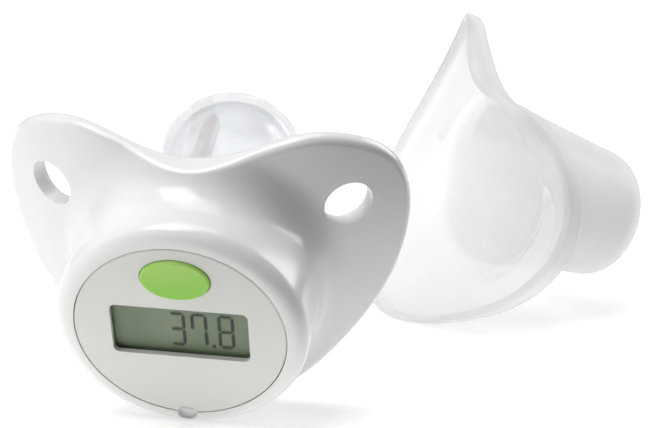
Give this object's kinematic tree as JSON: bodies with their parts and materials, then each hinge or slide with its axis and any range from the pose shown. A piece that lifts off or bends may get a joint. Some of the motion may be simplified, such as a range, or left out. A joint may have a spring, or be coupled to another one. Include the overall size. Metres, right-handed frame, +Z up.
{
  "type": "digital soother thermometer",
  "caption": "Baby soother thermometer with butterfly shield, display, green button, clear hollow teat with a probe inside, and a clear teat cap lying beside it.",
  "frame": {"origin": "centre of the whole part's footprint, on the table it stands on", "axes": "+Z up from the table; the display face looks towards -Y and leans forward; +X is to the right of the display"},
  "size_m": [0.0982, 0.1348, 0.0581],
  "materials": {
    "white_housing": "polished white ABS",
    "face_grey": "fine satin, warm light grey",
    "button_green": "soft satin lime green",
    "clear_window": "clear, polished",
    "lcd_glass": "grey-green liquid crystal",
    "lcd_ink": "dark liquid crystal segments",
    "clear_silicone": "clear glossy silicone",
    "probe_plastic": "satin warm white",
    "probe_tip": "satin warm white",
    "glass_bead": "amber glass",
    "wire_enamel": "enamelled copper",
    "white_inner": "moulded",
    "black_inner": "moulded",
    "black_rubber": "layered elastomer",
    "board_green": "solder mask",
    "black_epoxy": "glob top",
    "component_body": "fired ceramic",
    "steel": "zinc plated",
    "battery_steel": "nickel plated",
    "contact_metal": "nickel plated spring strip",
    "brass": "rolled",
    "ceramic_white": "fired piezo ceramic with silvered face",
    "seal_silicone": "soft silicone",
    "plunger_white": "moulded",
    "clear_cap": "clear polypropylene, lightly frosted inside"
  },
  "bodies": {
    "thermometer": {"shield_housing": "white_housing", "rear_cover": "white_housing", "cover_screws": "steel", "teat": "clear_silicone", "teat_clamp_ring": "white_inner", "probe_stem": "probe_plastic", "sensor_cap": "probe_tip", "thermistor_bead": "glass_bead", "thermistor_leads": "wire_enamel", "lcd_panel": "lcd_glass", "lcd_digits": "lcd_ink", "lcd_holder": "black_inner", "zebra_connector": "black_rubber", "circuit_board": "board_green", "board_screws": "steel", "cob_chip": "black_epoxy", "board_components": "component_body", "switch_base": "black_inner", "module_carrier": "white_inner", "battery": "battery_steel", "battery_contact_back": "contact_metal", "battery_contact_side": "contact_metal", "buzzer_plate": "brass", "buzzer_ceramic": "ceramic_white"},
    "front_panel": {"front_panel": "face_grey", "panel_seal": "seal_silicone", "display_window": "clear_window"},
    "power_button": {"power_button": "button_green"},
    "switch_plunger": {"switch_plunger": "plunger_white"},
    "protective_cap": {"protective_cap": "clear_cap"}
  },
  "joints": [
    {"name": "front_panel_release", "type": "slide", "parent": "thermometer", "child": "front_panel", "axis": [0, -0.8734, -0.4869], "range_m": [0, 0.004]},
    {"name": "power_button_press", "type": "slide", "parent": "front_panel", "child": "power_button", "axis": [0, 0.8734, 0.4869], "range_m": [0, 0.00035], "stiffness_N_per_m": 800},
    {"name": "switch_plunger_press", "type": "slide", "parent": "thermometer", "child": "switch_plunger", "axis": [0, 0.8734, 0.4869], "range_m": [0, 0.00035]},
    {"name": "cap_lift", "type": "slide", "parent": "thermometer", "child": "protective_cap", "axis": [0, 0, 1], "range_m": [0, 0.06]}
  ],
  "couplings": [
    {"joint": "switch_plunger_press", "follows": "power_button_press", "ratio": 1}
  ]
}
